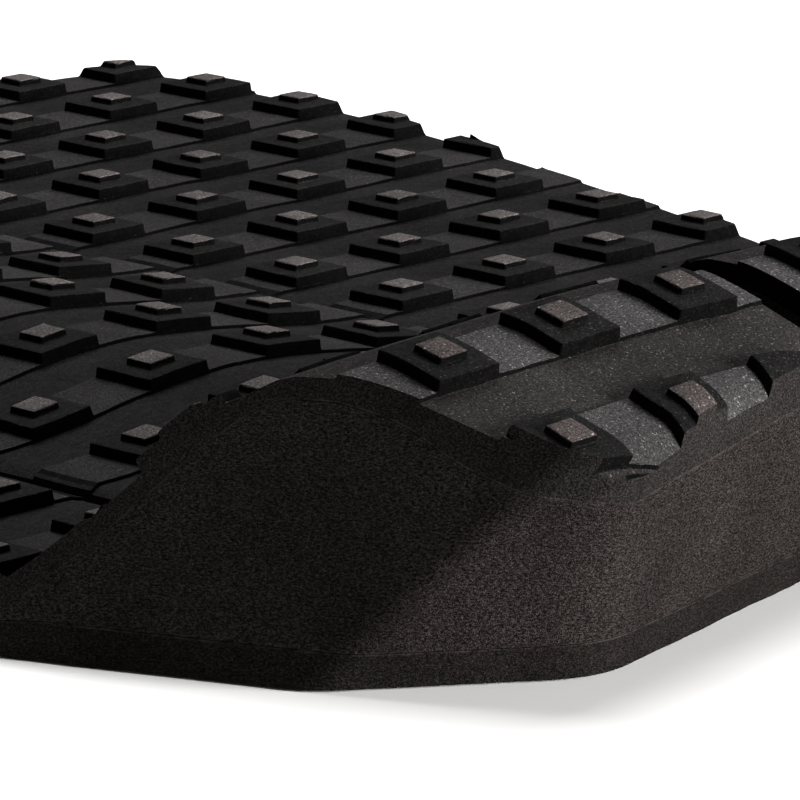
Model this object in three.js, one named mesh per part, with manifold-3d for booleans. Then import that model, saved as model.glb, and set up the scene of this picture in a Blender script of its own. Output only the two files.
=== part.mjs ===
// Foam traction pad with a tail kick, in millimetres.
// +X points to the pad's right edge, +Y to the nose and +Z up, off the board.
// The pad is three sections: a centre panel with a low arch, and a left and a right
// section that each carry half of the kick, with an open slot between the halves.
// Every section is a stack: release liner, adhesive film, base sheet, core and studded tread.
// Until the finished pad is centred, Y is measured from one row of studs and X from the
// middle of the centre panel. The outline's own middle lies a little to the right of that.

import * as THREE from 'three';
import { mergeVertices } from 'three/addons/utils/BufferGeometryUtils.js';
import Module from 'manifold-3d';

const wasm = await Module();
wasm.setup();

// ---- driving dimensions ----

const ROW_PITCH = 19;
const COLUMN_PITCH = 19.2;
const FIRST_ROW = -5;
const LAST_ROW = 5;
const ARCH_COLUMNS = [-1.5, -0.5, 0.5, 1.5];
const DECK_COLUMN_START = 53;
const DECK_COLUMNS = 5;

const LINER = { bottom: 0, top: 0.1 };
const FILM = { bottom: 0.12, top: 0.22 };
const BASE = { bottom: 0.24, top: 3.2, kickExtra: 0.85, kickRamp: 14 };
const GLUE_GAP = 0.15;
const TREAD_UNDERSIDE = BASE.top + GLUE_GAP;
const STRIP_TOP = 5.2;
const STRIP_RISE = 0.45;

const STUD = { half: 4.85, topHalf: 4.65, step: 1.35, capHalf: 2.15, capTopHalf: 2, cap: 0.85, root: 1.4 };

const ARCH = { halfWidth: 43.1, edge: 0.8, crown: 4 };
const ARCH_CORE_INSET = 3;
const SEAM = 1.3;
const CROSS_SEAM_Y = -101.2;

const KICK = { foot: -102.6, ramp: 31.2, height: 28.5, crest: -136.8, fall: 0.34, ease: 5 };
const KICK_TREAD = { thickness: 2.7, rearExtra: 1.3, from: -145, over: 10 };
const KICK_GLUE_GAP = 0.35;
const KICK_CROWN_SPAN = 225;
const KICK_ROWS = [-112, -123.4, -142.2, -161.3];
const KICK_SLOT = { centre: 1.9, width: 6.3 };
const KICK_COLUMN_START = 12.3;
const KICK_COLUMNS = 5;
const REAR_ROLL = { depth: 2.4, width: 3.6, middle: -156.7, sweep: 0.235 };
const CORE_START_Y = -110.6;
const CORE_END_GAP = 0.3;
const REAR_LINES = [-139.5, -148.6, -151, -153.6, -158.2, -160.4, -162.6, -167, -169.5];
const REAR_END = -173;

// Outline of the underside from its middle to the right, from the tail notch to the nose.
// blend is how far each rounded corner reaches along its edges, and lean is how far
// the wall after the corner moves inwards for each millimetre of height.
const MIDDLE_X = 1.5;
const SIDE_LEAN = 0.445;
const REAR_LEAN = -0.15;
const CORNERS = [
  { x: 0, y: -152.5, blend: 4, lean: REAR_LEAN },
  { x: 47.5, y: -163.7, blend: 6, lean: REAR_LEAN },
  { x: 73.1, y: -145.2, blend: 2.8, lean: SIDE_LEAN },
  { x: 111.6, y: -50, blend: 14, lean: SIDE_LEAN },
  { x: 125.6, y: 1.9, blend: 18, lean: SIDE_LEAN },
  { x: 134.6, y: 45.6, blend: 18, lean: SIDE_LEAN },
  { x: 137, y: 98.8, blend: 14, lean: SIDE_LEAN },
  { x: 69.2, y: 106.4, blend: 24, lean: SIDE_LEAN },
];
const CORNER_STEPS = 4;
const CUTTER_TOP = 37.5;
const NOSE_Y = 115;
const FAR = 250;

// ---- solids ----

function solidFrom(geometry) {
  const bare = geometry.clone();
  bare.deleteAttribute('normal');
  bare.deleteAttribute('uv');
  const merged = mergeVertices(bare, 1e-4);
  const mesh = new wasm.Mesh({
    numProp: 3,
    vertProperties: new Float32Array(merged.attributes.position.array),
    triVerts: new Uint32Array(merged.index.array),
  });
  return new wasm.Manifold(mesh);
}

function geometryFrom(solid) {
  const mesh = solid.getMesh();
  const geometry = new THREE.BufferGeometry();
  geometry.setAttribute('position', new THREE.BufferAttribute(mesh.vertProperties, 3));
  geometry.setIndex(new THREE.BufferAttribute(mesh.triVerts, 1));
  geometry.computeVertexNormals();
  return geometry;
}

function boxSolid(xLow, xHigh, yLow, yHigh, zLow = -1, zHigh = CUTTER_TOP + 1) {
  const box = new THREE.BoxGeometry(xHigh - xLow, yHigh - yLow, zHigh - zLow);
  box.translate((xLow + xHigh) / 2, (yLow + yHigh) / 2, (zLow + zHigh) / 2);
  return solidFrom(box);
}

// A slab on a grid of xs and ys, between two surfaces given as functions of x and y.
function slabSolid(xs, ys, low, high) {
  const box = new THREE.BoxGeometry(1, 1, 1, xs.length - 1, ys.length - 1, 1);
  const position = box.attributes.position;
  for (let i = 0; i < position.count; i += 1) {
    const x = xs[Math.round((position.getX(i) + 0.5) * (xs.length - 1))];
    const y = ys[Math.round((position.getY(i) + 0.5) * (ys.length - 1))];
    const z = position.getZ(i) > 0 ? high(x, y) : low(x, y);
    position.setXYZ(i, x, y, z);
  }
  return solidFrom(box);
}

function evenly(from, to, count) {
  return Array.from({ length: count + 1 }, (_, i) => from + ((to - from) * i) / count);
}

// ---- outline ----

function cornerLoop() {
  const right = CORNERS.map((corner) => ({ ...corner, x: MIDDLE_X + corner.x }));
  const left = CORNERS.slice(1).map((corner, i) => ({
    ...corner,
    x: MIDDLE_X - corner.x,
    lean: CORNERS[i].lean,
  }));
  return [...right, ...left.reverse()];
}

// The line of one wall at a height: a point on it and its direction.
function wallLine(from, to, z) {
  const direction = new THREE.Vector2(to.x - from.x, to.y - from.y).normalize();
  const inward = new THREE.Vector2(-direction.y, direction.x).multiplyScalar(from.lean * z);
  return { point: new THREE.Vector2(from.x, from.y).add(inward), direction };
}

function crossing(a, b) {
  const between = b.point.clone().sub(a.point);
  const along = between.cross(b.direction) / a.direction.cross(b.direction);
  return a.point.clone().addScaledVector(a.direction, along);
}

function outlineAt(z) {
  const loop = cornerLoop();
  const count = loop.length;
  const walls = loop.map((corner, i) => wallLine(corner, loop[(i + 1) % count], z));
  const points = walls.map((wall, i) => crossing(walls[(i + count - 1) % count], wall));
  const outline = [];
  points.forEach((point, i) => {
    const before = points[(i + count - 1) % count];
    const after = points[(i + 1) % count];
    const reach = (other) => Math.min(loop[i].blend, 0.45 * point.distanceTo(other)) / point.distanceTo(other);
    const start = point.clone().lerp(before, reach(before));
    const end = point.clone().lerp(after, reach(after));
    outline.push(...new THREE.QuadraticBezierCurve(start, point, end).getPoints(CORNER_STEPS));
  });
  return outline;
}

// The pad's leaning walls between two heights.
function outlineSolid(zLow, zHigh) {
  const low = outlineAt(zLow);
  const high = outlineAt(zHigh);
  const partner = (x, y) => {
    const distances = low.map((point) => Math.hypot(point.x - x, point.y - y));
    return high[distances.indexOf(Math.min(...distances))];
  };
  const geometry = new THREE.ExtrudeGeometry(new THREE.Shape(low), { depth: 1, bevelEnabled: false });
  const position = geometry.attributes.position;
  for (let i = 0; i < position.count; i += 1) {
    if (position.getZ(i) < 0.5) {
      position.setZ(i, zLow);
    } else {
      const point = partner(position.getX(i), position.getY(i));
      position.setXYZ(i, point.x, point.y, zHigh);
    }
  }
  return solidFrom(geometry);
}

// ---- surfaces ----

function smoothRise(t) {
  const u = Math.min(Math.max(t, 0), 1);
  return u * u * (3 - 2 * u);
}

function archRise(x, y) {
  if (Math.abs(x) > ARCH.halfWidth) return 0;
  const bell = Math.cos((Math.PI * x) / (2 * ARCH.halfWidth)) ** 2;
  const fade = 1 - smoothRise((CROSS_SEAM_Y - y) / KICK.ramp);
  return (ARCH.edge + ARCH.crown * bell) * fade;
}

function kickRise(x, y) {
  const ramp = KICK.height * smoothRise((KICK.foot - y) / KICK.ramp);
  const past = Math.max(KICK.crest - y, 0);
  const fall = KICK.fall * (Math.hypot(past, KICK.ease) - KICK.ease);
  return (ramp - fall) * (1 - ((x - MIDDLE_X) / KICK_CROWN_SPAN) ** 2);
}

// The kick's rear edge turns down on both sides of the slot.
function rearRoll(x, y) {
  const rearY = REAR_ROLL.middle - REAR_ROLL.sweep * Math.abs(x - MIDDLE_X);
  const near = 1 - Math.min(Math.max((y - rearY) / REAR_ROLL.width, 0), 1);
  return REAR_ROLL.depth * near ** 2;
}

// The surface that the strips follow, before the rear edge is turned down.
function formedSurface(x, y) {
  return STRIP_TOP + archRise(x, y) + kickRise(x, y);
}

function slopeAlongY(x, y) {
  const step = 0.5;
  return (formedSurface(x, y + step) - formedSurface(x, y - step)) / (2 * step);
}

function slopeAlongX(x, y) {
  const step = 0.5;
  return (formedSurface(x + step, y) - formedSurface(x - step, y)) / (2 * step);
}

const deckRows = [];
for (let row = FIRST_ROW; row <= LAST_ROW; row += 1) {
  deckRows.push(-row * ROW_PITCH);
}

// Half of a strip's width, seen from above, on the slope that it lies on.
function stripHalf(y) {
  return STUD.half / Math.hypot(1, slopeAlongY(0, y));
}

function onStrip(y) {
  return [...deckRows, ...KICK_ROWS].some((row) => Math.abs(y - row) < stripHalf(row));
}

function treadTop(x, y) {
  return formedSurface(x, y) - rearRoll(x, y) - (onStrip(y) ? 0 : STRIP_RISE);
}

function baseTop(x, y) {
  return BASE.top + BASE.kickExtra * smoothRise((KICK.foot - y) / BASE.kickRamp);
}

function sideUnderside(x, y) {
  return baseTop(x, y) + GLUE_GAP;
}

function archUnderside(x, y) {
  return TREAD_UNDERSIDE + archRise(x, y);
}

function kickUnderside(x, y) {
  const extra = KICK_TREAD.rearExtra * smoothRise((KICK_TREAD.from - y) / KICK_TREAD.over);
  const thickness = (KICK_TREAD.thickness + extra) * Math.hypot(1, slopeAlongY(x, y));
  return formedSurface(x, y) - rearRoll(x, y) - thickness;
}

// Grid lines along Y: both sides of every strip edge, so that the step stands upright.
function rowLines(rows, yLow, yHigh, between) {
  const sharp = 0.05;
  const edges = rows.flatMap((row) => {
    const half = stripHalf(row);
    return [row - half - sharp, row - half + sharp, row + half - sharp, row + half + sharp];
  });
  const inside = edges.filter((y) => y > yLow + 0.3 && y < yHigh - 0.3);
  return [yLow, ...inside, ...between, yHigh].sort((a, b) => a - b);
}

// ---- studs ----

function frustum(bottomHalf, topHalf, zLow, zHigh) {
  const geometry = new THREE.CylinderGeometry(topHalf * Math.SQRT2, bottomHalf * Math.SQRT2, zHigh - zLow, 4);
  geometry.rotateY(Math.PI / 4);
  geometry.rotateX(Math.PI / 2);
  geometry.translate(0, 0, (zLow + zHigh) / 2);
  return geometry;
}

// A square block with a smaller square cap, standing square to the surface below it.
function studSolid(x, y) {
  const tilt = new THREE.Matrix4().makeRotationX(Math.atan(slopeAlongY(x, y)));
  const roll = new THREE.Matrix4().makeRotationY(-Math.atan(slopeAlongX(x, y)));
  const place = new THREE.Matrix4().makeTranslation(x, y, formedSurface(x, y)).multiply(tilt).multiply(roll);
  const block = frustum(STUD.half, STUD.topHalf, -STUD.root, STUD.step);
  const cap = frustum(STUD.capHalf, STUD.capTopHalf, STUD.step - 0.4, STUD.step + STUD.cap);
  return solidFrom(block.applyMatrix4(place)).add(solidFrom(cap.applyMatrix4(place)));
}

function withStuds(sheet, places) {
  return places.reduce((body, [x, y]) => body.add(studSolid(x, y)), sheet);
}

function archStudPlaces() {
  return ARCH_COLUMNS.flatMap((column) => deckRows.map((y) => [column * COLUMN_PITCH, y]));
}

function deckStudPlaces(side) {
  const columns = Array.from({ length: DECK_COLUMNS }, (_, i) => side * (DECK_COLUMN_START + i * COLUMN_PITCH));
  return columns.flatMap((x) => deckRows.map((y) => [x, y]));
}

function kickStudPlaces(side) {
  const start = KICK_COLUMN_START;
  const columns = Array.from({ length: KICK_COLUMNS }, (_, i) => side * (start + i * COLUMN_PITCH));
  return columns.flatMap((x) => KICK_ROWS.map((y) => [KICK_SLOT.centre + x, y]));
}

// ---- sections ----

const outerWall = outlineSolid(-0.5, CUTTER_TOP);

// Whether any part of a stud at this place lies inside the pad's walls.
function onPad([x, y]) {
  const stud = boxSolid(x - STUD.half, x + STUD.half, y - STUD.half, y + STUD.half);
  const top = formedSurface(x, y) + STUD.step;
  return outerWall.trimByPlane([0, 0, 1], top - 1).intersect(stud).volume() > 1;
}

const CENTRE_X = ARCH.halfWidth - SEAM / 2;
const DECK_X = ARCH.halfWidth + SEAM / 2;
const CENTRE_END_Y = CROSS_SEAM_Y + SEAM / 2;
const KICK_START_Y = CROSS_SEAM_Y - SEAM / 2;

function centreRegion() {
  return boxSolid(-CENTRE_X, CENTRE_X, CENTRE_END_Y, FAR);
}

function slotSide(side) {
  return KICK_SLOT.centre + (side * KICK_SLOT.width) / 2;
}

function spanSolid(side, xInner, yLow, yHigh) {
  return side > 0 ? boxSolid(xInner, FAR, yLow, yHigh) : boxSolid(-FAR, xInner, yLow, yHigh);
}

function sideRegion(side) {
  const deck = spanSolid(side, side * DECK_X, KICK_START_Y - 1, FAR);
  return deck.add(spanSolid(side, slotSide(side), -FAR, KICK_START_Y));
}

function sheetOf(layer, region) {
  return outlineSolid(layer.bottom, layer.top).intersect(region);
}

function centreTread() {
  const xs = evenly(-CENTRE_X, CENTRE_X, 10);
  const ys = rowLines(deckRows, CENTRE_END_Y, NOSE_Y, []);
  const sheet = slabSolid(xs, ys, archUnderside, treadTop);
  return withStuds(sheet, archStudPlaces()).intersect(outerWall);
}

function archCore() {
  const xs = evenly(-CENTRE_X + ARCH_CORE_INSET, CENTRE_X - ARCH_CORE_INSET, 12);
  const top = (x, y) => archUnderside(x, y) - GLUE_GAP;
  return slabSolid(xs, [CENTRE_END_Y, NOSE_Y], () => TREAD_UNDERSIDE, top).intersect(outerWall);
}

function kickGrid(side) {
  const xs = evenly(slotSide(side), side * 112, 11).sort((a, b) => a - b);
  const rampLines = evenly(KICK.foot, KICK.foot - KICK.ramp, 12);
  const ys = rowLines(KICK_ROWS, REAR_END, KICK_START_Y, [...rampLines, ...REAR_LINES]);
  return { xs, ys };
}

// The core and the hollow that holds it come from one grid, so the glue line is even.
function coreSlab(side, low, lift) {
  const { xs, ys } = kickGrid(side);
  const high = (x, y) => kickUnderside(x, y) + lift;
  return slabSolid(xs, ys.filter((y) => y < CORE_START_Y), low, high);
}

function sideTread(side) {
  const { xs, ys } = kickGrid(side);
  const block = slabSolid(xs, ys, sideUnderside, treadTop);
  const kick = block.subtract(coreSlab(side, () => TREAD_UNDERSIDE - 1, 0));
  const deckXs = [side * DECK_X, side * 145].sort((a, b) => a - b);
  const deckYs = rowLines(deckRows, KICK_START_Y - 0.5, NOSE_Y, []);
  const deck = slabSolid(deckXs, deckYs, () => TREAD_UNDERSIDE, treadTop);
  const places = [...deckStudPlaces(side), ...kickStudPlaces(side)].filter(onPad);
  return withStuds(kick.add(deck), places).intersect(outerWall).intersect(sideRegion(side));
}

function kickCore(side) {
  const behind = boxSolid(-FAR, FAR, -FAR, CORE_START_Y - CORE_END_GAP);
  return coreSlab(side, sideUnderside, -KICK_GLUE_GAP).intersect(outerWall).intersect(behind);
}

function sideBase(side) {
  const rise = evenly(KICK.foot - BASE.kickRamp, KICK.foot, 7);
  const sheet = slabSolid([-FAR, FAR], [REAR_END, ...rise, NOSE_Y], () => BASE.bottom, baseTop);
  return sheet.intersect(outerWall).intersect(sideRegion(side));
}

// ---- assembly ----

const materials = {
  tread: new THREE.MeshStandardMaterial({ color: 0x1a1a1c, roughness: 0.72, metalness: 0 }),
  core: new THREE.MeshStandardMaterial({ color: 0x1d1816, roughness: 0.9, metalness: 0 }),
  base: new THREE.MeshStandardMaterial({ color: 0x1f1a18, roughness: 0.88, metalness: 0 }),
  film: new THREE.MeshStandardMaterial({ color: 0x9a988e, roughness: 0.35, metalness: 0 }),
  liner: new THREE.MeshStandardMaterial({ color: 0xe9e5da, roughness: 0.6, metalness: 0 }),
};

const pad = new THREE.Group();

function addPiece(name, solid, material) {
  const mesh = new THREE.Mesh(geometryFrom(solid), materials[material]);
  mesh.name = name;
  pad.add(mesh);
}

function addBacking(section, region) {
  addPiece(`${section}_release_liner`, sheetOf(LINER, region), 'liner');
  addPiece(`${section}_adhesive_film`, sheetOf(FILM, region), 'film');
}

addBacking('centre', centreRegion());
addPiece('centre_base_sheet', sheetOf(BASE, centreRegion()), 'base');
addPiece('centre_arch_core', archCore(), 'core');
addPiece('centre_tread', centreTread(), 'tread');

[['left', -1], ['right', 1]].forEach(([section, side]) => {
  addBacking(section, sideRegion(side));
  addPiece(`${section}_base_sheet`, sideBase(side), 'base');
  addPiece(`${section}_kick_core`, kickCore(side), 'core');
  addPiece(`${section}_tread`, sideTread(side), 'tread');
});

const extent = new THREE.Box3().setFromObject(pad);
pad.position.x = -(extent.min.x + extent.max.x) / 2;
pad.position.y = -(extent.min.y + extent.max.y) / 2;
pad.updateMatrixWorld(true);

export default pad;
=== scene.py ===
import math

import bpy
import numpy as np
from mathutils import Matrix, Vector


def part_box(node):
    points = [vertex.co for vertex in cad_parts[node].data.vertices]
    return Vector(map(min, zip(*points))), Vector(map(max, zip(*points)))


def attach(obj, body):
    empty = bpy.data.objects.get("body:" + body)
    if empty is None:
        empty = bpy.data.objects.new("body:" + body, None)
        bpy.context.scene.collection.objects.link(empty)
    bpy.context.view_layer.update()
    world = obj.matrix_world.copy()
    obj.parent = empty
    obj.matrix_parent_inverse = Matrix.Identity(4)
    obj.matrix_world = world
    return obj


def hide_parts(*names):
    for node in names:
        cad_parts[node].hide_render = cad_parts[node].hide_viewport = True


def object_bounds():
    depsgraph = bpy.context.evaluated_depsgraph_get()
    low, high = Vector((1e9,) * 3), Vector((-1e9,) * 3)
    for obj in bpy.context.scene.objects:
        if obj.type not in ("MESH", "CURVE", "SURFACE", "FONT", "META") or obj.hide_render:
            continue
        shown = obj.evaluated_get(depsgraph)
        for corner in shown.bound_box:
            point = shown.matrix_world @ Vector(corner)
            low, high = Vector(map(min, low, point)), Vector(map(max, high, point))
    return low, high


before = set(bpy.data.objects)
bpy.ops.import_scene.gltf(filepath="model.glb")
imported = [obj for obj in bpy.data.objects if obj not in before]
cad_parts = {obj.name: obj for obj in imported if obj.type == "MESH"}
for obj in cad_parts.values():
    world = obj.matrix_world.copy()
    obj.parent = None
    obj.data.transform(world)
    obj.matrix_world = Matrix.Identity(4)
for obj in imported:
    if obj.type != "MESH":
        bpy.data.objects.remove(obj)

# A foam traction pad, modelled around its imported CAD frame.
# Shapes are worked out in millimetres, with Y measured from one row of studs as in the
# CAD part, and become metres in the frame's place when a mesh is made.

cad_low, cad_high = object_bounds()
MM = 0.001
SEED = 7

# ---- driving dimensions, in millimetres ----

ROW_PITCH = 19.0
COLUMN_PITCH = 19.2
DECK_ROWS = [-row * ROW_PITCH for row in range(-5, 6)]
ARCH_COLUMNS = [column * COLUMN_PITCH for column in (-1.5, -0.5, 0.5, 1.5)]
DECK_COLUMN_START = 53.0
KICK_COLUMN_START = 12.3
SIDE_COLUMNS = 5

LINER = (0.0, 0.09)
FILM = (0.1, 0.18)
BASE = (0.19, 3.24)
BASE_KICK_EXTRA = 0.85
BASE_KICK_RAMP = 14.0
BACKING_INSET = 0.8
LAMINATE_GAP = 0.1
TREAD_UNDERSIDE = BASE[1] + LAMINATE_GAP
STRIP_TOP = 5.2
STRIP_RISE = 0.45

ARCH_HALF = 43.1
ARCH_EDGE = 0.8
ARCH_CROWN = 4.0
SEAM = 1.3
CROSS_SEAM_Y = -101.2

KICK_FOOT = -102.6
KICK_RAMP = 31.2
KICK_HEIGHT = 28.5
KICK_CREST = -136.8
KICK_FALL = 0.34
KICK_EASE = 5.0
KICK_TREAD = 2.7
KICK_TREAD_EXTRA = 1.3
KICK_TREAD_FROM = -145.0
KICK_TREAD_OVER = 10.0
KICK_CROWN_SPAN = 225.0
KICK_ROWS = [-112.0, -123.4, -142.2, -161.3]
SLOT_CENTRE = 1.9
SLOT_WIDTH = 6.3
REAR_ROLL = 2.4
REAR_ROLL_WIDTH = 3.6
REAR_ROLL_Y = -156.7
REAR_ROLL_SWEEP = 0.235

STUD_HALF = 4.85
STUD_STEP = 1.35
STUD_CORNER = 0.35
CAP_HALF = 2.15
CAP_STEP = 0.85
CAP_CORNER = 0.3

# How far the moulding strays from the true shape, and over what length.
EDGE_WOBBLE = ((0.06, 5.0), (0.05, 6.0))
STUD_SHIFT = (0.05, 31.0)
STUD_SIZE_CHANGE = (0.03, 43.0)
SURFACE_WAVES = ((0.07, 38.0), (0.02, 9.0))
KNIFE_WAVES = ((0.06, 17.0), (0.035, 5.0))
KNIFE_STEEPNESS = 2.2
SEAM_EDGE_WIDTH = 0.7
SEAM_EDGE_DROP = 0.45

# How high a stud's wall stands at each distance in from its edge.
BLOCK_PROFILE = ([-0.14, 0.0, 0.05, 0.17, 0.26, 0.42], [0.0, 0.12, 0.4, 1.2, 1.31, STUD_STEP])
CAP_PROFILE = ([-0.12, 0.0, 0.05, 0.13, 0.2, 0.34], [0.0, 0.08, 0.3, 0.73, 0.81, CAP_STEP])
STRIP_PROFILE = ([-0.05, 0.0, 0.15, 0.3], [0.0, -0.38, -0.43, -STRIP_RISE])
STUD_LINES = [5.25, 5.0, 4.85, 4.8, 4.68, 4.59, 4.43, 3.3, 2.27, 2.15, 2.1, 2.02, 1.95, 1.81, 0.9]
FILL_STEP = 2.4
CLOSEST_LINES = 0.03
SLOPE_STEP = 0.5

# Outline of the underside from its middle to the right, from the tail notch to the nose.
# Each corner has x, y, the reach of its rounding, and how far the wall after it
# leans inwards for each millimetre of height.
MIDDLE_X = 1.5
LEAN = 0.445
REAR_LEAN = -0.15
CORNERS = [
    (0.0, -152.5, 4.0, REAR_LEAN),
    (47.5, -163.7, 6.0, REAR_LEAN),
    (73.1, -145.2, 2.8, LEAN),
    (111.6, -50.0, 14.0, LEAN),
    (125.6, 1.9, 18.0, LEAN),
    (134.6, 45.6, 18.0, LEAN),
    (137.0, 98.8, 14.0, LEAN),
    (69.2, 106.4, 24.0, LEAN),
]
CORNER_STEPS = 10
WALL_STEP = 1.3
TOP_Z = 42.0
BLOCK_FLOOR = -8.0
UNDER_FLOOR = -12.0
BLANK_X = 146.0
BLANK_Y = 118.0
KICK_BLANK_X = 112.0
REAR_END = -176.0
FAR = 230.0

CENTRE_END_Y = CROSS_SEAM_Y + SEAM / 2
KICK_START_Y = CROSS_SEAM_Y - SEAM / 2
CENTRE_X = ARCH_HALF - SEAM / 2
DECK_X = ARCH_HALF + SEAM / 2

# The CAD frame is centred on the pad, so its centre panel says where the lattice starts.
panel_low, panel_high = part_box("centre_release_liner")
ZERO = np.array([(panel_low.x + panel_high.x) / 2 / MM, panel_low.y / MM - CENTRE_END_Y, 0.0])


# ---- surfaces ----

def smooth_rise(t):
    u = np.clip(t, 0.0, 1.0)
    return u * u * (3 - 2 * u)


def arch_rise(x, y):
    bell = np.cos(np.pi * x / (2 * ARCH_HALF)) ** 2
    fade = 1 - smooth_rise((CROSS_SEAM_Y - y) / KICK_RAMP)
    return np.where(np.abs(x) < ARCH_HALF, (ARCH_EDGE + ARCH_CROWN * bell) * fade, 0.0)


def kick_rise(x, y):
    ramp = KICK_HEIGHT * smooth_rise((KICK_FOOT - y) / KICK_RAMP)
    fall = KICK_FALL * (np.hypot(np.maximum(KICK_CREST - y, 0.0), KICK_EASE) - KICK_EASE)
    return (ramp - fall) * (1 - ((x - MIDDLE_X) / KICK_CROWN_SPAN) ** 2)


def rear_roll(x, y):
    rear_y = REAR_ROLL_Y - REAR_ROLL_SWEEP * np.abs(x - MIDDLE_X)
    near = 1 - np.clip((y - rear_y) / REAR_ROLL_WIDTH, 0.0, 1.0)
    return REAR_ROLL * near ** 2


def formed_surface(x, y):
    return STRIP_TOP + arch_rise(x, y) + kick_rise(x, y)


def strip_surface(x, y):
    return formed_surface(x, y) - rear_roll(x, y)


def slope_along_y(x, y):
    return (formed_surface(x, y + SLOPE_STEP) - formed_surface(x, y - SLOPE_STEP)) / (2 * SLOPE_STEP)


def surface_normal(x, y):
    step = SLOPE_STEP
    across = (strip_surface(x + step, y) - strip_surface(x - step, y)) / (2 * step)
    along = (strip_surface(x, y + step) - strip_surface(x, y - step)) / (2 * step)
    normal = np.stack([-across, -along, np.ones_like(across)], -1)
    return normal / np.linalg.norm(normal, axis=-1, keepdims=True)


def kick_underside(x, y):
    extra = KICK_TREAD_EXTRA * smooth_rise((KICK_TREAD_FROM - y) / KICK_TREAD_OVER)
    return strip_surface(x, y) - (KICK_TREAD + extra) * np.hypot(1.0, slope_along_y(x, y))


def kick_core_top(x, y):
    return np.where(y < KICK_FOOT, kick_underside(x, y), 0.0)


def base_top(x, y):
    return BASE[1] + BASE_KICK_EXTRA * smooth_rise((KICK_FOOT - y) / BASE_KICK_RAMP)


def tread_underside(x, y):
    low = np.where(y < KICK_FOOT, kick_underside(x, y), TREAD_UNDERSIDE + arch_rise(x, y))
    return np.maximum(low, base_top(x, y) + LAMINATE_GAP)


def waves(a, b, length, seed, count=7):
    """A smooth random surface of about unit height, the same each time for one seed."""
    rng = np.random.default_rng(SEED + seed)
    total = np.zeros_like(np.asarray(a, float) + np.asarray(b, float))
    for _ in range(count):
        angle, phase = rng.uniform(0, 2 * np.pi, 2)
        turns = 2 * np.pi / (length * rng.uniform(0.7, 1.6))
        total = total + np.sin((a * np.cos(angle) + b * np.sin(angle)) * turns + phase)
    return total / math.sqrt(count)


def edge_distance(u, v, half, corner):
    """How far inside a square with rounded corners a point is."""
    over_u = np.abs(u) - (half - corner)
    over_v = np.abs(v) - (half - corner)
    outside = np.hypot(np.maximum(over_u, 0), np.maximum(over_v, 0))
    return corner - outside - np.minimum(np.maximum(over_u, over_v), 0)


def nearest(values, centres):
    centres = np.asarray(centres)
    return centres[np.abs(values[..., None] - centres).argmin(-1)]


def stretch_at(row):
    """Rows on a slope are squeezed in plan, so that they measure the same along it."""
    return np.hypot(1.0, slope_along_y(np.zeros_like(row), row))


def relief(x, y, rows, columns):
    """Height of the moulded strips and studs above the strip surface."""
    row = nearest(y, rows)
    column = nearest(x, columns)
    v = (y - row) * stretch_at(row)
    u = x - column
    skew = STUD_SHIFT[0] * waves(column, row, STUD_SHIFT[1], 3)
    u = u + EDGE_WOBBLE[0][0] * waves(x, y, EDGE_WOBBLE[0][1], 5) + skew
    v = v + EDGE_WOBBLE[1][0] * waves(x, y, EDGE_WOBBLE[1][1], 6)
    strip = np.interp(np.abs(v) - STUD_HALF, *STRIP_PROFILE)
    block = np.interp(edge_distance(u, v, STUD_HALF, STUD_CORNER), *BLOCK_PROFILE)
    cap = np.interp(edge_distance(u, v, CAP_HALF, CAP_CORNER), *CAP_PROFILE)
    size = 1 + STUD_SIZE_CHANGE[0] * waves(column, row, STUD_SIZE_CHANGE[1], 4)
    return strip + (block + cap) * size


def unevenness(x, y):
    (broad, broad_length), (fine, fine_length) = SURFACE_WAVES
    return broad * waves(x, y, broad_length, 1) + fine * waves(x, y, fine_length, 2)


def seam_rounding(x, y, section):
    """The moulded edge beside each seam turns down."""
    inside = CENTRE_X - np.abs(x) if section == "centre" else np.abs(x) - DECK_X
    if section != "centre":
        inside = np.where(y < KICK_START_Y, FAR, inside)
    near = np.clip(1 - inside / SEAM_EDGE_WIDTH, 0.0, 1.0)
    return SEAM_EDGE_DROP * near ** 2


# ---- mesh building ----

def make_object(name, points, faces, materials=()):
    mesh = bpy.data.meshes.new(name)
    placed = (np.asarray(points, float) + ZERO) * MM
    mesh.from_pydata(placed.tolist(), [], faces)
    for material in materials:
        mesh.materials.append(material)
    mesh.update()
    piece = bpy.data.objects.new(name, mesh)
    bpy.context.scene.collection.objects.link(piece)
    return piece


def grid_faces(rows, columns):
    index = np.arange(rows * columns).reshape(rows, columns)
    quads = [index[:-1, :-1], index[:-1, 1:], index[1:, 1:], index[1:, :-1]]
    return np.stack(quads, -1).reshape(-1, 4)


def block_under(name, xs, ys, surface, floor, materials):
    """A closed block with a flat floor, under a surface that stands on a grid."""
    x, y = np.meshgrid(xs, ys)
    top = surface(x, y).reshape(-1, 3)
    index = np.arange(len(top)).reshape(x.shape)
    rim = np.concatenate([index[0, :-1], index[:-1, -1], index[-1, :0:-1], index[:0:-1, 0]])
    foot = top[rim].copy()
    foot[:, 2] = floor
    low = len(top) + np.arange(len(rim))
    faces = grid_faces(*x.shape).tolist()
    ahead = np.roll(np.arange(len(rim)), -1)
    faces += np.stack([low, low[ahead], rim[ahead], rim], -1).tolist()
    faces.append(low[::-1].tolist())
    return make_object(name, np.concatenate([top, foot]), faces, materials)


def ring_solid(name, rings, materials):
    """A closed solid through a stack of outlines that have the same number of points."""
    count = len(rings[0])
    around = np.arange(count)
    ahead = np.roll(around, -1)
    faces = [around[::-1].tolist()]
    for level in range(len(rings) - 1):
        low, high = level * count, (level + 1) * count
        faces += np.stack([low + around, low + ahead, high + ahead, high + around], -1).tolist()
    faces.append(((len(rings) - 1) * count + around).tolist())
    return make_object(name, np.concatenate(rings), faces, materials)


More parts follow.
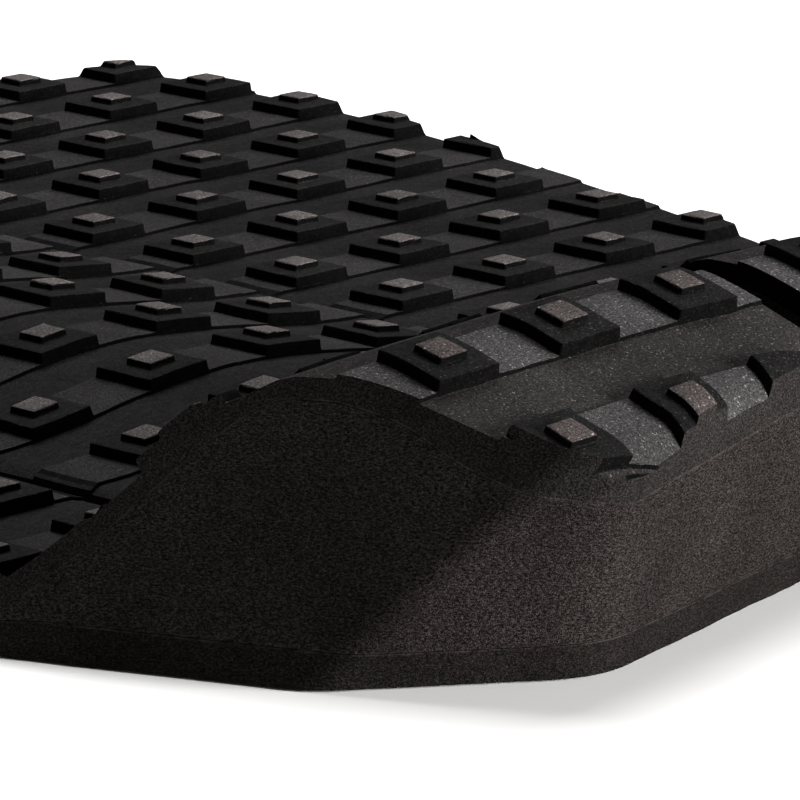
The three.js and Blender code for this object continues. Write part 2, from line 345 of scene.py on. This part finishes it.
def carve(name, start, tools):
    """Cuts a solid with others, one after another, and returns the finished piece."""
    for operation, tool in tools:
        cut = start.modifiers.new(operation, "BOOLEAN")
        cut.operation = operation
        cut.solver = "MANIFOLD"
        cut.object = tool
        cut.material_mode = "TRANSFER"
    graph = bpy.context.evaluated_depsgraph_get()
    mesh = bpy.data.meshes.new_from_object(start.evaluated_get(graph))
    mesh.name = name
    piece = bpy.data.objects.new(name, mesh)
    bpy.context.scene.collection.objects.link(piece)
    bpy.data.objects.remove(start)
    return piece


# ---- outline ----

def corner_loop():
    right = [(MIDDLE_X + x, y, blend, lean) for x, y, blend, lean in CORNERS]
    left = []
    for i, (x, y, blend, _) in enumerate(CORNERS[1:], start=1):
        left.append((MIDDLE_X - x, y, blend, CORNERS[i - 1][3]))
    return right + left[::-1]


def outline_points(z, inset, lengths=None):
    """The pad's outline at one height, evenly stepped along its straight walls."""
    loop = corner_loop()
    count = len(loop)
    walls = []
    for i, (x, y, _, lean) in enumerate(loop):
        ahead = np.array(loop[(i + 1) % count][:2]) - [x, y]
        ahead = ahead / np.linalg.norm(ahead)
        inward = np.array([-ahead[1], ahead[0]]) * (lean * z + inset)
        walls.append((np.array([x, y]) + inward, ahead))
    corners = []
    for i in range(count):
        (a, da), (b, db) = walls[i - 1], walls[i]
        along = ((b[0] - a[0]) * db[1] - (b[1] - a[1]) * db[0]) / (da[0] * db[1] - da[1] * db[0])
        corners.append(a + da * along)
    bends = []
    for i, corner in enumerate(corners):
        ends = []
        for other in (corners[i - 1], corners[(i + 1) % count]):
            span = np.linalg.norm(other - corner)
            ends.append(corner + (other - corner) * min(loop[i][2], 0.45 * span) / span)
        bends.append((ends[0], corner, ends[1]))
    lengths = lengths or [
        max(2, round(np.linalg.norm(bends[(i + 1) % count][0] - bends[i][2]) / WALL_STEP))
        for i in range(count)
    ]
    points = []
    for i, (start, corner, end) in enumerate(bends):
        t = np.linspace(0, 1, CORNER_STEPS + 1)[:, None]
        points.append((1 - t) ** 2 * start + 2 * t * (1 - t) * corner + t ** 2 * end)
        step = np.linspace(0, 1, lengths[i] + 1)[1:-1, None]
        points.append(end + (bends[(i + 1) % count][0] - end) * step)
    return np.concatenate(points), lengths


def outline_solid(name, low, high, material, inset=0.0):
    """The space inside the pad's walls. A hot knife leaves the walls slightly uneven."""
    levels = np.linspace(low, high, max(2, round((high - low) / WALL_STEP) + 1))
    _, lengths = outline_points(0.0, inset)
    rings = []
    for z in levels:
        ring, _ = outline_points(z, inset, lengths)
        ahead = np.roll(ring, -1, 0) - np.roll(ring, 1, 0)
        ahead = ahead / np.linalg.norm(ahead, axis=1, keepdims=True)
        outward = np.stack([ahead[:, 1], -ahead[:, 0]], -1)
        walk = np.cumsum(np.linalg.norm(ring - np.roll(ring, 1, 0), axis=1))
        (broad, broad_length), (fine, fine_length) = KNIFE_WAVES
        uneven = broad * waves(walk, z, broad_length, 11)
        uneven = uneven + fine * waves(walk, KNIFE_STEEPNESS * z, fine_length, 12)
        ring = ring + outward * uneven[:, None]
        rings.append(np.column_stack([ring, np.full(len(ring), z)]))
    return ring_solid(name, rings, [material])


def stepped(polygon, step):
    points = []
    for i, start in enumerate(polygon):
        start, end = np.array(start), np.array(polygon[(i + 1) % len(polygon)])
        count = max(1, round(np.linalg.norm(end - start) / step))
        points += [start + (end - start) * k / count for k in range(count)]
    return np.array(points)


def slot_side(side):
    return SLOT_CENTRE + side * SLOT_WIDTH / 2


def region_polygon(section):
    if section == "centre":
        return [(-CENTRE_X, CENTRE_END_Y), (CENTRE_X, CENTRE_END_Y), (CENTRE_X, FAR), (-CENTRE_X, FAR)]
    side = 1 if section == "right" else -1
    inner = slot_side(side)
    corners = [(inner, -FAR), (side * FAR, -FAR), (side * FAR, FAR), (side * DECK_X, FAR)]
    corners += [(side * DECK_X, KICK_START_Y), (inner, KICK_START_Y)]
    return corners if side > 0 else corners[::-1]


def region_solid(section, low, high, material):
    ring = stepped(region_polygon(section), 1.6)
    levels = np.linspace(low, high, max(2, round((high - low) / 1.6) + 1))
    rings = [np.column_stack([ring, np.full(len(ring), z)]) for z in levels]
    return ring_solid(section + "_region", rings, [material])


# ---- materials ----

class Nodes:
    """Short ways to add and join the nodes of one material."""

    def __init__(self, name):
        self.material = bpy.data.materials.new(name)
        self.material.use_nodes = True
        self.tree = self.material.node_tree
        self.shader = self.tree.nodes["Principled BSDF"]
        self.place = self.add("ShaderNodeTexCoord").outputs["Object"]

    def add(self, kind, inputs=(), **settings):
        node = self.tree.nodes.new(kind)
        for key, value in settings.items():
            setattr(node, key, value)
        for key, value in dict(inputs).items():
            self.join(value, node.inputs[key])
        return node

    def join(self, value, socket):
        if isinstance(value, bpy.types.NodeSocket):
            self.tree.links.new(value, socket)
        else:
            socket.default_value = value

    def stretched(self, x, y, z):
        return self.add("ShaderNodeMapping", {"Vector": self.place, "Scale": (x, y, z)}).outputs[0]

    def noise(self, scale, detail=2.0, roughness=0.5, place=None):
        wanted = {"Vector": place or self.place, "Scale": scale, "Detail": detail, "Roughness": roughness}
        return self.add("ShaderNodeTexNoise", wanted).outputs["Fac"]

    def ramp(self, value, stops):
        node = self.add("ShaderNodeValToRGB", {"Fac": value})
        ramp = node.color_ramp
        while len(ramp.elements) < len(stops):
            ramp.elements.new(0.5)
        for element, (at, colour) in zip(ramp.elements, stops):
            element.position = at
            grey = (colour,) * 3 if isinstance(colour, (int, float)) else tuple(colour)
            element.color = grey + (1.0,)
        return node.outputs["Color"]

    def mix(self, how, factor, a, b):
        node = self.add("ShaderNodeMix", data_type="RGBA", blend_type=how)
        for value, name in ((factor, "Factor_Float"), (a, "A_Color"), (b, "B_Color")):
            socket = next(s for s in node.inputs if s.identifier == name)
            if not isinstance(value, bpy.types.NodeSocket) and name != "Factor_Float":
                value = (value,) * 3 + (1.0,) if isinstance(value, (int, float)) else tuple(value) + (1.0,)
            self.join(value, socket)
        return next(s for s in node.outputs if s.identifier == "Result_Color")

    def maths(self, how, a, b=0.0):
        node = self.add("ShaderNodeMath", operation=how)
        self.join(a, node.inputs[0])
        self.join(b, node.inputs[1])
        return node.outputs[0]

    def ranged(self, value, low, high, to_low=0.0, to_high=1.0):
        wanted = {"Value": value, "From Min": low, "From Max": high, "To Min": to_low, "To Max": to_high}
        return self.add("ShaderNodeMapRange", wanted).outputs["Result"]

    def attribute(self, name):
        return self.add("ShaderNodeAttribute", attribute_name=name).outputs["Fac"]

    def bump(self, height, strength, distance, normal=None):
        wanted = {"Height": height, "Strength": strength, "Distance": distance}
        if normal is not None:
            wanted["Normal"] = normal
        return self.add("ShaderNodeBump", wanted).outputs["Normal"]

    def finish(self, colour, roughness, normal, **fixed):
        self.join(colour, self.shader.inputs["Base Color"])
        self.join(roughness, self.shader.inputs["Roughness"])
        self.join(normal, self.shader.inputs["Normal"])
        for name, value in fixed.items():
            self.shader.inputs[name.replace("_", " ")].default_value = value
        return self.material


GRAIN = 3300.0
RELIEF_LOW, RELIEF_HIGH = -0.6, 2.4


def relief_stop(height):
    return (height - RELIEF_LOW) / (RELIEF_HIGH - RELIEF_LOW)


# The stud and strip walls are painted near black: painted shade for walls that lie out of the light.
WALL_PAINTED_SHADE = (0.0016, 0.0015, 0.0015)


# The kick's painted light, a paler lit copy of the skin colours, starts and is complete at these two
# places along the pad.
KICK_PAINTED_LIGHT_Y = (KICK_FOOT - 5, KICK_CREST + 8)
# A face whose normal rises less than the first is a wall and is painted in shade, and more than the second
# is not.
WALL_SHADE_FACING = (0.25, 0.45)


def skin_zones(n, height, band, strip, ring, cap):
    # Between band, strip, ring and cap, the walls take the painted shade.
    zones = [
        (-0.42, band), (-0.38, WALL_PAINTED_SHADE), (-0.06, WALL_PAINTED_SHADE), (-0.02, strip),
        (0.03, strip), (0.07, WALL_PAINTED_SHADE), (1.2, WALL_PAINTED_SHADE), (1.27, ring),
        (1.46, ring), (1.54, WALL_PAINTED_SHADE), (1.96, WALL_PAINTED_SHADE), (2.05, cap),
    ]
    return n.ramp(height, [(relief_stop(z), colour) for z, colour in zones])


def moulded_skin():
    """The moulded face: dark bands, strips, stud walls painted near black as shade, and cap tops painted
    pale as sheen.
    """
    n = Nodes("moulded_skin")
    height = n.ranged(n.attribute("relief"), RELIEF_LOW, RELIEF_HIGH)
    # The deck's caps are painted pale: painted sheen that stands in for the back light's highlight on
    # their tops.
    deck = skin_zones(
        n, height, (0.0097, 0.0091, 0.0092), (0.0185, 0.0175, 0.018),
        (0.0075, 0.0072, 0.0072), (0.062, 0.0556, 0.0543),
    )
    # Over the kick the skin colours are a lit copy of the deck's: bands and strips painted paler for the
    # light and sheen the kick catches, and caps with less painted sheen.
    kick = skin_zones(
        n, height, (0.0145, 0.0133, 0.0131), (0.0295, 0.028, 0.0284),
        (0.0052, 0.005, 0.005), (0.0365, 0.031, 0.0301),
    )
    along = n.add("ShaderNodeSeparateXYZ", {"Vector": n.place}).outputs["Y"]
    rise = [(y + ZERO[1]) * MM for y in KICK_PAINTED_LIGHT_Y]
    kick_painted_light = n.ranged(along, *rise)
    colour = n.mix("MIX", kick_painted_light, deck, kick)
    # Upright faces are painted near black whether the lamps reach them or not: painted shade.
    face = n.add("ShaderNodeNewGeometry").outputs["True Normal"]
    facing_up = n.add("ShaderNodeSeparateXYZ", {"Vector": face}).outputs["Z"]
    colour = n.mix("MIX", n.ranged(facing_up, *WALL_SHADE_FACING), WALL_PAINTED_SHADE, colour)
    patches = n.ramp(n.noise(55.0, 4.0, 0.6), [(0.3, 0.72), (0.7, 1.25)])
    colour = n.mix("MULTIPLY", 1.0, colour, patches)
    cells = n.noise(GRAIN, 3.0, 0.7)
    colour = n.mix("MULTIPLY", 1.0, colour, n.ramp(cells, [(0.3, 0.3), (0.52, 1.0), (0.72, 2.2)]))
    # Bright specks, stronger over the kick, are painted glints that stand in for the skin's sparkle of
    # light.
    painted_glints = n.ramp(n.noise(GRAIN * 0.9, 1.0), [(0.65, 1.0), (0.73, 4.5)])
    colour = n.mix("MULTIPLY", n.ranged(kick_painted_light, 0.0, 1.0, 0.3, 1.0), colour, painted_glints)
    roughness = n.ranged(n.noise(900.0, 3.0), 0.3, 0.7, 0.7, 0.9)
    coarse = n.bump(n.noise(420.0, 2.0), 0.25, 0.0002)
    normal = n.bump(cells, 0.8, 0.00012, coarse)
    return n.finish(colour, roughness, normal, Specular_IOR_Level=0.012)


def cut_foam(name, colour, grain, streak, contrast, depth):
    """A knife-cut face of closed-cell foam, with a pale line at each glued joint."""
    n = Nodes(name)
    streaks = n.noise(grain, 1.0, 0.6, n.stretched(1 / streak, 1 / streak, 1.0))
    cells = n.noise(grain * 1.5, 1.0, 0.7)
    spread_by = [(0.3, 1 - contrast), (0.5, 1.0), (0.7, 1 + 1.6 * contrast)]
    base = n.mix("MULTIPLY", 1.0, colour, n.ramp(streaks, spread_by))
    base = n.mix("MULTIPLY", 1.0, base, n.ramp(cells, spread_by))
    base = n.mix("MULTIPLY", 1.0, base, n.ramp(n.noise(60.0, 3.0), [(0.3, 0.75), (0.7, 1.25)]))
    joint = n.ramp(n.attribute("lamina"), [(0.0, 1.0), (0.14, 0.6), (0.22, 0.0)])
    broken = n.ramp(n.noise(500.0, 2.0), [(0.4, 0.1), (0.62, 1.0)])
    base = n.mix("ADD", n.maths("MULTIPLY", joint, broken), base, (0.019, 0.018, 0.0172))
    height = n.mix("MIX", 0.4, streaks, cells)
    normal = n.bump(height, 1.0, depth)
    return n.finish(base, 0.95, normal, Specular_IOR_Level=0.02)


def film_material():
    n = Nodes("adhesive_film")
    colour = n.ramp(n.noise(300.0, 3.0), [(0.3, (0.3, 0.29, 0.26)), (0.7, (0.42, 0.41, 0.37))])
    normal = n.bump(n.noise(900.0, 2.0), 0.3, 0.0001)
    return n.finish(colour, n.ranged(n.noise(200.0), 0.3, 0.7, 0.25, 0.45), normal)


def liner_material():
    n = Nodes("release_liner")
    fibres = n.noise(1200.0, 4.0, 0.7, n.stretched(1.0, 0.3, 1.0))
    colour = n.ramp(fibres, [(0.3, (0.74, 0.71, 0.62)), (0.7, (0.86, 0.84, 0.77))])
    normal = n.bump(fibres, 0.2, 0.00008)
    return n.finish(colour, n.ranged(fibres, 0.3, 0.7, 0.38, 0.55), normal, Coat_Weight=0.15)


SKIN = moulded_skin()
CUT_TREAD = cut_foam("cut_tread_foam", (0.0093, 0.0083, 0.008), 4800.0, 1.5, 0.6, 0.0002)
CUT_CORE = cut_foam("cut_core_foam", (0.014, 0.0117, 0.0112), 5200.0, 2.2, 0.7, 0.0007)
CUT_BASE = cut_foam("cut_base_foam", (0.007, 0.006, 0.0057), 4800.0, 1.8, 0.6, 0.0002)
FILM_MATERIAL = film_material()
LINER_MATERIAL = liner_material()


# ---- treads ----

def spread(centres, offsets, low, high, squeeze=None):
    """Grid lines at every offset on both sides of every centre, and fill between them."""
    squeeze = squeeze or (lambda centre: 1.0)
    lines = {low, high}
    for centre in centres:
        for offset in list(offsets) + [0.0] + [-offset for offset in offsets]:
            lines.add(round(centre + offset / squeeze(centre), 4))
    lines = sorted(line for line in lines if low <= line <= high)
    kept = [low]
    for line in lines[1:]:
        gap = line - kept[-1]
        if gap < CLOSEST_LINES:
            continue
        parts = max(1, math.ceil(gap / FILL_STEP))
        kept += [kept[-1] + gap * k / parts for k in range(1, parts + 1)]
    if high - kept[-1] > 0:
        kept[-1] = high
    return np.array(kept)


def tread_surface(section, rows, columns):
    def surface(x, y):
        lift = relief(x, y, rows, columns) - seam_rounding(x, y, section) + unevenness(x, y)
        normal = surface_normal(x, y)
        # Beside a seam the wall stays upright.
        upright = np.zeros_like(normal)
        upright[..., 2] = 1.0
        base = np.stack([x, y, strip_surface(x, y)], -1)
        edge = np.zeros(x.shape, bool)
        edge[[0, -1], :] = True
        edge[:, [0, -1]] = True
        return base + np.where(edge[..., None], upright, normal) * lift[..., None]
    return surface


def plain_surface(height):
    return lambda x, y: np.stack([x, y, height(x, y)], -1)


def kick_columns(side):
    return [SLOT_CENTRE + side * (KICK_COLUMN_START + i * COLUMN_PITCH) for i in range(SIDE_COLUMNS)]


def deck_columns(side):
    return [side * (DECK_COLUMN_START + i * COLUMN_PITCH) for i in range(SIDE_COLUMNS)]


def row_squeeze(row):
    return float(stretch_at(np.array(row)))


def side_span(side, inner, outer):
    return (inner, outer) if side > 0 else (outer, inner)


def side_blank(side):
    """The moulded sheet of one side section, before its outline is cut."""
    section = "right" if side > 0 else "left"
    xs = spread(deck_columns(side), STUD_LINES, *side_span(side, side * DECK_X, side * BLANK_X))
    ys = spread(DECK_ROWS, STUD_LINES, KICK_START_Y, BLANK_Y)
    deck_top = tread_surface(section, DECK_ROWS, deck_columns(side))
    deck = block_under(section + "_deck", xs, ys, deck_top, BLOCK_FLOOR, [SKIN])
    xs = spread(kick_columns(side), STUD_LINES, *side_span(side, slot_side(side), side * KICK_BLANK_X))
    ys = spread(KICK_ROWS, STUD_LINES, REAR_END, KICK_START_Y, row_squeeze)
    kick_top = tread_surface(section, DECK_ROWS[-1:] + KICK_ROWS, kick_columns(side))
    kick = block_under(section + "_kick", xs, ys, kick_top, BLOCK_FLOOR, [SKIN])
    return deck, kick


def under_block(section, height, lift, material):
    """Everything below the underside of a tread."""
    if section == "centre":
        xs, ys = np.linspace(-60, 60, 61), np.linspace(-110, 120, 24)
    else:
        side = 1 if section == "right" else -1
        xs = np.linspace(*side_span(side, side * -4.0, side * 150), 78)
        ys = np.concatenate([np.linspace(REAR_END - 2, -98, 99), [-97.9, 10.0, 120.0]])
    surface = plain_surface(lambda x, y: height(x, y) + lift)
    return block_under(section + "_under", xs, ys, surface, UNDER_FLOOR, [material])


def slab(name, low, high, material):
    polygon = np.array([(-FAR, -FAR), (FAR, -FAR), (FAR, FAR), (-FAR, FAR)], float)
    rings = [np.column_stack([polygon, np.full(4, z)]) for z in (low, high)]
    return ring_solid(name, rings, [material])


FOOT_STEPS = 16
CREASE = math.radians(32)


def mark(piece, name, values):
    attribute = piece.data.attributes.new(name, "FLOAT", "POINT")
    attribute.data.foreach_set("value", np.asarray(values, np.float32))


def points_of(piece):
    flat = np.empty(len(piece.data.vertices) * 3)
    piece.data.vertices.foreach_get("co", flat)
    return flat.reshape(-1, 3) / MM - ZERO


def mark_relief(piece):
    """Stores how far each point stands above the strip surface, measured square to it."""
    points = points_of(piece)
    foot = points[:, :2].copy()
    for _ in range(FOOT_STEPS):
        normal = surface_normal(foot[:, 0], foot[:, 1])
        rise = points[:, 2] - strip_surface(foot[:, 0], foot[:, 1])
        height = (np.column_stack([points[:, :2] - foot, rise]) * normal).sum(1)
        foot = points[:, :2] - normal[:, :2] * height[:, None]
    mark(piece, "relief", height - unevenness(foot[:, 0], foot[:, 1]))


def mark_lamina(piece, heights):
    """Stores each point's distance in height from the nearest glued joint."""
    points = points_of(piece)
    gaps = [np.abs(points[:, 2] - height(points[:, 0], points[:, 1])) for height in heights]
    mark(piece, "lamina", np.min(gaps, axis=0))


def shade(piece):
    mesh = piece.data
    mesh.polygons.foreach_set("use_smooth", np.ones(len(mesh.polygons), bool))
    mesh.set_sharp_from_angle(angle=CREASE)
    mesh.update()


def own(piece, node):
    """Ties a finished piece to the frame."""
    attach(piece, "root")
    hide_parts(node)


SECTIONS = ("centre", "left", "right")
GLUED_JOINTS = [base_top, tread_underside]


def region_tools(section, low, high, material, inset=0.0):
    outline = outline_solid(section + "_outline", low, high, material, inset)
    region = region_solid(section, low - 1, high + 1, material)
    return [("INTERSECT", outline), ("INTERSECT", region)]


def drop(tools):
    for _, tool in tools:
        bpy.data.objects.remove(tool)


def build_tread(section):
    name = section + "_tread_foam"
    tools = region_tools(section, -1.0, TOP_Z, CUT_TREAD)
    if section == "centre":
        xs = spread(ARCH_COLUMNS, STUD_LINES, -CENTRE_X - 1, CENTRE_X + 1)
        ys = spread(DECK_ROWS, STUD_LINES, CENTRE_END_Y - 1, BLANK_Y)
        surface = tread_surface(section, DECK_ROWS, ARCH_COLUMNS)
        blank = block_under("blank", xs, ys, surface, BLOCK_FLOOR, [SKIN])
    else:
        blank, kick = side_blank(1 if section == "right" else -1)
        tools.insert(0, ("UNION", kick))
    tools.append(("DIFFERENCE", under_block(section, tread_underside, 0.0, CUT_TREAD)))
    piece = carve(name, blank, tools)
    drop(tools)
    mark_relief(piece)
    mark_lamina(piece, GLUED_JOINTS)
    shade(piece)
    own(piece, section + "_tread")


def build_core(section):
    kind = "arch" if section == "centre" else "kick"
    tools = region_tools(section, BASE[0], TOP_Z, CUT_CORE)
    height = tread_underside if section == "centre" else kick_core_top
    tools.append(("DIFFERENCE", under_block(section, base_top, LAMINATE_GAP, CUT_CORE)))
    blank = under_block(section, height, -LAMINATE_GAP, CUT_CORE)
    piece = carve(f"{section}_{kind}_core_foam", blank, tools)
    drop(tools)
    mark_lamina(piece, GLUED_JOINTS)
    shade(piece)
    own(piece, f"{section}_{kind}_core")


def build_base(section):
    tools = region_tools(section, BASE[0], BASE[1] + 2, CUT_BASE)
    blank = under_block(section, base_top, 0.0, CUT_BASE)
    piece = carve(f"{section}_base_sheet_foam", blank, tools)
    drop(tools)
    mark_lamina(piece, GLUED_JOINTS)
    shade(piece)
    own(piece, f"{section}_base_sheet")


def build_backing(section, layer, limits, material):
    tools = region_tools(section, *limits, material, BACKING_INSET)
    blank = slab(section + layer, limits[0] - 0.5, limits[1] + 0.5, material)
    piece = carve(f"{section}_{layer}_layer", blank, tools)
    drop(tools)
    shade(piece)
    own(piece, f"{section}_{layer}")


for section in SECTIONS:
    build_tread(section)
    build_core(section)
    build_base(section)
    build_backing(section, "adhesive_film", FILM, FILM_MATERIAL)
    build_backing(section, "release_liner", LINER, LINER_MATERIAL)


# ---- stage, light and camera ----

def floor_material():
    n = Nodes("floor")
    colour = n.ramp(n.noise(3.0, 2.0), [(0.3, 0.84), (0.7, 0.87)])
    normal = n.bump(n.noise(400.0, 2.0), 0.02, 0.0001)
    return n.finish(colour, 0.85, normal)


def build_floor():
    mesh = bpy.data.meshes.new("floor")
    reach = FLOOR_REACH
    corners = [(-reach, -reach, 0), (reach, -reach, 0), (reach, reach, 0), (-reach, reach, 0)]
    mesh.from_pydata(corners, [], [(0, 1, 2, 3)])
    mesh.materials.append(floor_material())
    floor = bpy.data.objects.new("floor", mesh)
    floor.location.z = cad_low.z - FLOOR_GAP
    bpy.context.scene.collection.objects.link(floor)


def area_light(name, direction, distance, size, power, colour=(1.0, 1.0, 1.0)):
    light = bpy.data.lights.new(name, "AREA")
    light.shape = "DISK"
    light.size = size
    light.energy = power
    light.color = colour
    lamp = bpy.data.objects.new(name, light)
    towards = Vector(direction).normalized()
    lamp.location = towards * distance
    lamp.rotation_euler = towards.to_track_quat("Z", "Y").to_euler()
    bpy.context.scene.collection.objects.link(lamp)


VIEW_AZIMUTH = math.radians(-45.89)
VIEW_ELEVATION = math.radians(13.79)
VIEW_DISTANCE = 0.8766
LOOK_AT = Vector((ZERO + [7.54, -81.85, 7.41]) * MM)
LENS = 329.9
SENSOR = 36.0

WORLD_STRENGTH = 0.12
KEY = {"distance": 1.8, "size": 0.9, "power": 150.0, "colour": (1.0, 0.985, 0.97)}
TOP = {"distance": 1.6, "size": 1.2, "power": 42.0}
FLOOR_REACH = 4.0
FLOOR_GAP = 0.00002

to_camera = Vector((
    math.sin(VIEW_AZIMUTH) * math.cos(VIEW_ELEVATION),
    -math.cos(VIEW_AZIMUTH) * math.cos(VIEW_ELEVATION),
    math.sin(VIEW_ELEVATION),
))
level_back = Vector((to_camera.x, to_camera.y, 0)).normalized()
camera_right = Vector((-level_back.y, level_back.x, 0))


def build_camera():
    data = bpy.data.cameras.new("camera")
    data.lens = LENS
    data.sensor_width = SENSOR
    data.clip_start = 0.05
    camera = bpy.data.objects.new("camera", data)
    camera.location = LOOK_AT + to_camera * VIEW_DISTANCE
    camera.rotation_euler = to_camera.to_track_quat("Z", "Y").to_euler()
    bpy.context.scene.collection.objects.link(camera)
    bpy.context.scene.camera = camera


def build_lights():
    world = bpy.data.worlds.new("studio")
    world.use_nodes = True
    background = world.node_tree.nodes["Background"]
    background.inputs["Color"].default_value = (1.0, 1.0, 1.0, 1.0)
    background.inputs["Strength"].default_value = WORLD_STRENGTH
    bpy.context.scene.world = world
    key = camera_right * 0.9 + level_back * 0.3 + Vector((0, 0, 0.1))
    area_light("key", key, **KEY)
    # The top light stands behind the pad, so it leaves the walls near the camera dark.
    top = Vector((0.5, 0.45, 1.0))
    area_light("top", top, **TOP)


build_floor()
build_lights()
build_camera()
bpy.context.scene.view_settings.view_transform = "Standard"
